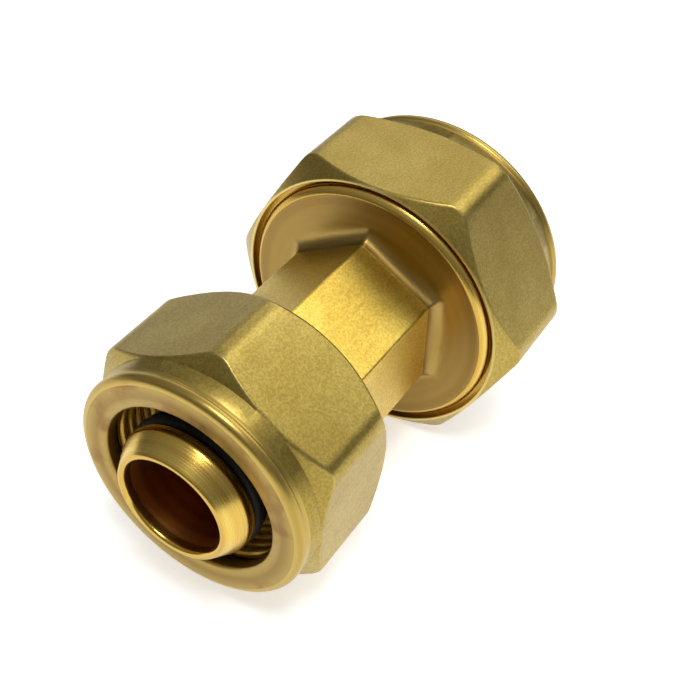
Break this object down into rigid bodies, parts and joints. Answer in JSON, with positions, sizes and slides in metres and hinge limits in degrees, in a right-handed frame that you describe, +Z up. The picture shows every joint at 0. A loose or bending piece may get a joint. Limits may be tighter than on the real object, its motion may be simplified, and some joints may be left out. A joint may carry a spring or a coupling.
{
  "type": "pipe compression coupling",
  "caption": "Straight reducing brass compression coupling for multilayer pipe, with a hexagonal grip and a hex union nut at each end.",
  "frame": {"origin": "on the pipe axis, at the middle of the body's hexagonal grip", "axes": "+X along the pipe axis towards the large end, +Z up with the large nut lying on a flat, +Y square to a flat of the grip"},
  "size_m": [0.0571, 0.0382, 0.0338],
  "materials": {
    "forged_brass": "shot-blasted forging with turned ends",
    "nut_brass": "satin, shot-blasted",
    "turned_brass": "turned",
    "black_rubber": "moulded, satin",
    "white_plastic": "cut from sheet, matt"
  },
  "bodies": {
    "fitting": {"body": "forged_brass", "small_insulating_washer": "white_plastic", "small_outer_o_ring": "black_rubber", "small_inner_o_ring": "black_rubber", "large_insulating_washer": "white_plastic", "large_outer_o_ring": "black_rubber", "large_inner_o_ring": "black_rubber"},
    "small_ring": {"small_split_ring": "turned_brass"},
    "small_nut": {"small_nut": "nut_brass"},
    "large_ring": {"large_split_ring": "turned_brass"},
    "large_nut": {"large_nut": "nut_brass"}
  },
  "joints": [
    {"name": "small_nut_travel", "type": "slide", "parent": "fitting", "child": "small_ring", "axis": [-1, 0, 0], "range_m": [0, 0.0045]},
    {"name": "small_nut_turn", "type": "hinge", "parent": "small_ring", "child": "small_nut", "pos_m": [-0.017, 0, 0], "axis": [-1, 0, 0], "range_deg": [0, 1080]},
    {"name": "large_nut_travel", "type": "slide", "parent": "fitting", "child": "large_ring", "axis": [1, 0, 0], "range_m": [0, 0.0045]},
    {"name": "large_nut_turn", "type": "hinge", "parent": "large_ring", "child": "large_nut", "pos_m": [0.017, 0, 0], "axis": [1, 0, 0], "range_deg": [0, 1080]}
  ],
  "couplings": [
    {"joint": "small_nut_turn", "follows": "small_nut_travel", "rad_per_m": 4188.8},
    {"joint": "large_nut_turn", "follows": "large_nut_travel", "rad_per_m": 4188.8}
  ]
}
